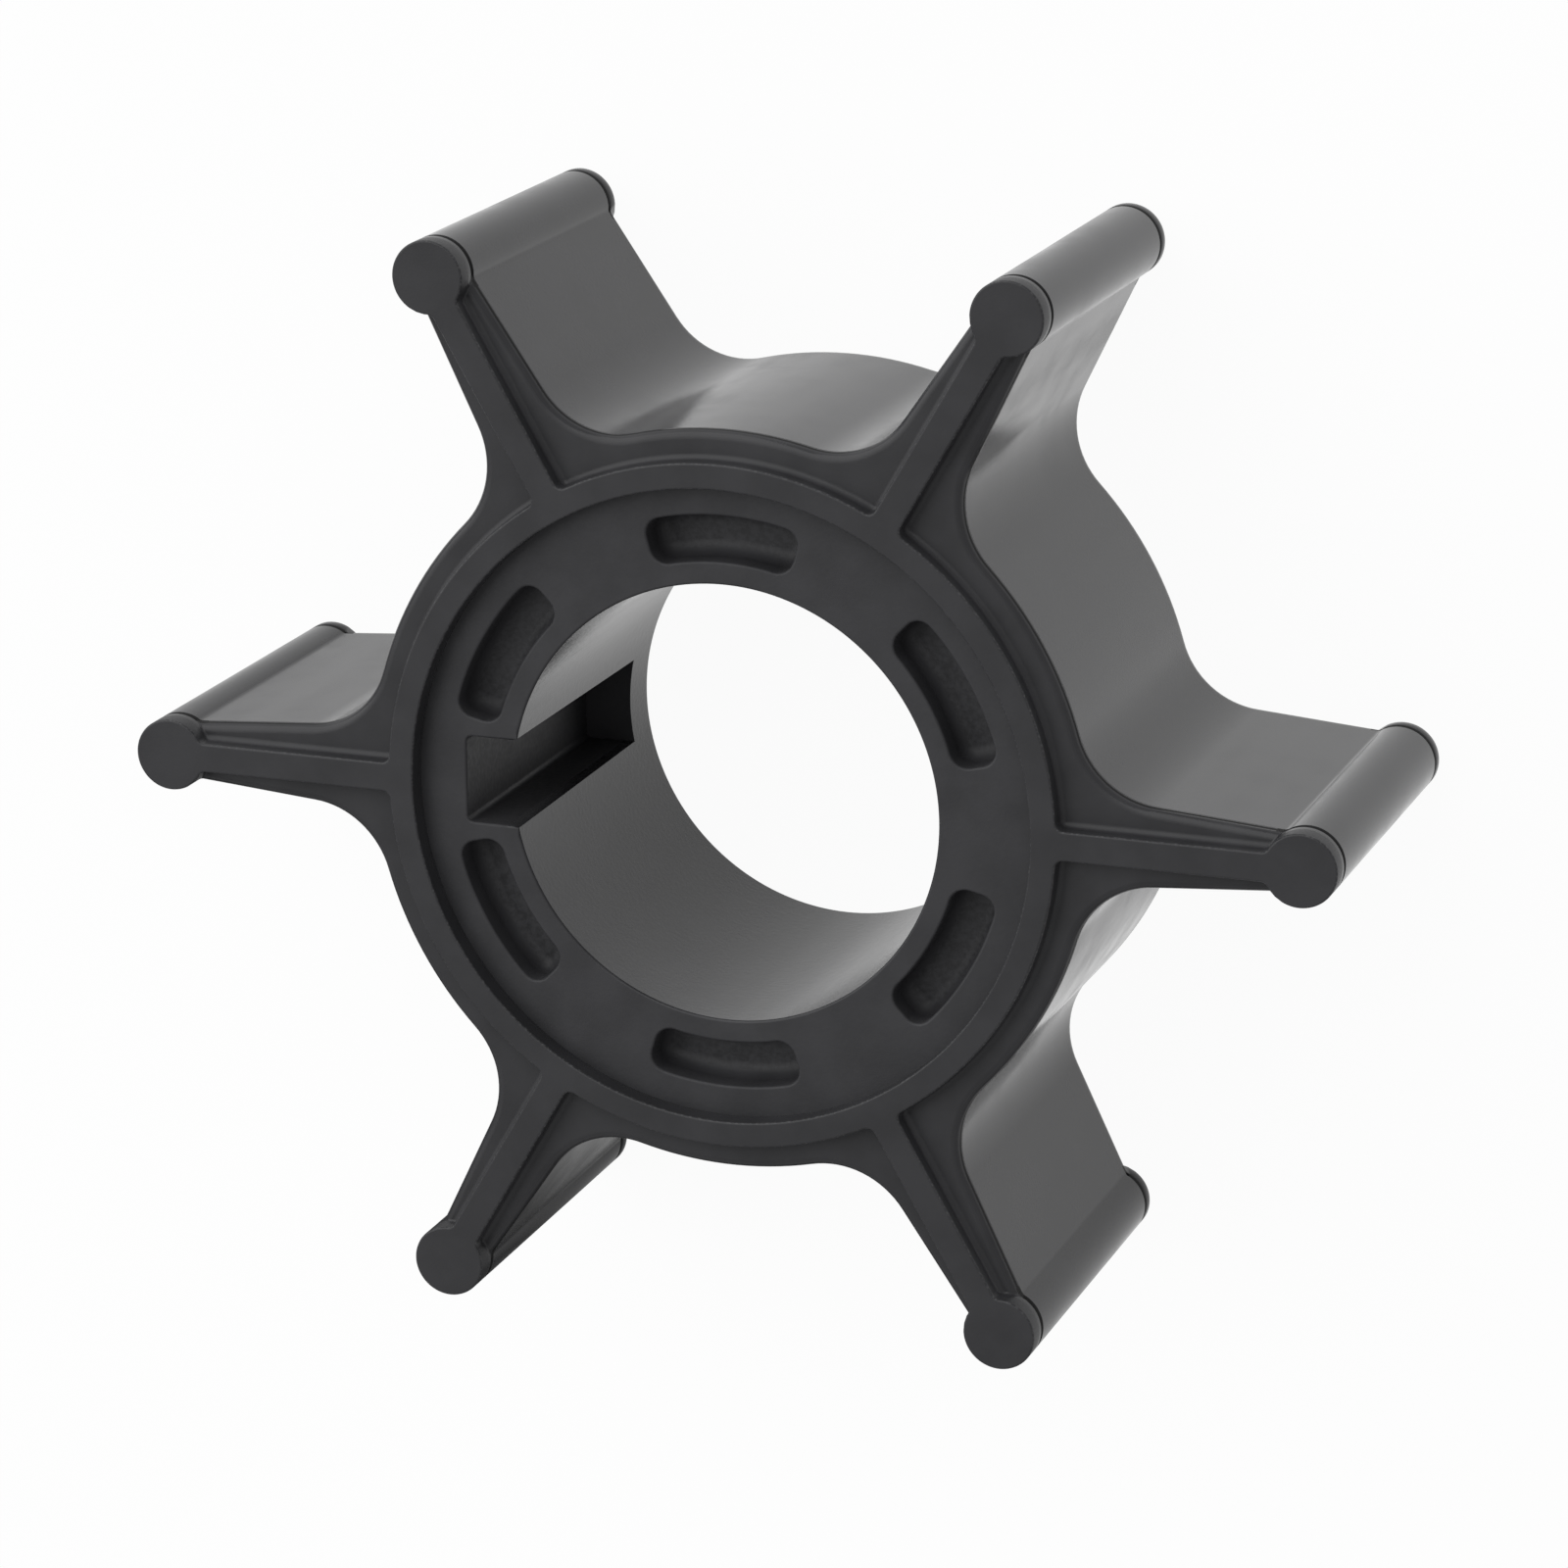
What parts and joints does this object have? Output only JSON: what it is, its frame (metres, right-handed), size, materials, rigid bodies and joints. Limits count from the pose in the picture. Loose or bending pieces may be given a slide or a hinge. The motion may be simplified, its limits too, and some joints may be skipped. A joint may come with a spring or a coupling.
{
  "type": "rubber pump impeller",
  "caption": "Flexible pump impeller: rubber sleeve with bulb-tipped vanes, bonded round a hard hub insert with a blind keyway and shallow pockets in its face.",
  "frame": {"origin": "on the shaft axis, in the plane of the rear face that the impeller rests on", "axes": "+Z along the shaft axis from the rear face to the front face, which shows the pockets and the open keyway; -X runs through the keyway and one vane"},
  "size_m": [0.068, 0.0594, 0.022],
  "materials": {
    "rubber": "moulded, satin, with a fine texture",
    "hard_plastic": "moulded, matt, with grainy pocket floors"
  },
  "bodies": {
    "root": {"rubber_body": "rubber", "hub_insert": "hard_plastic"}
  },
  "joints": []
}
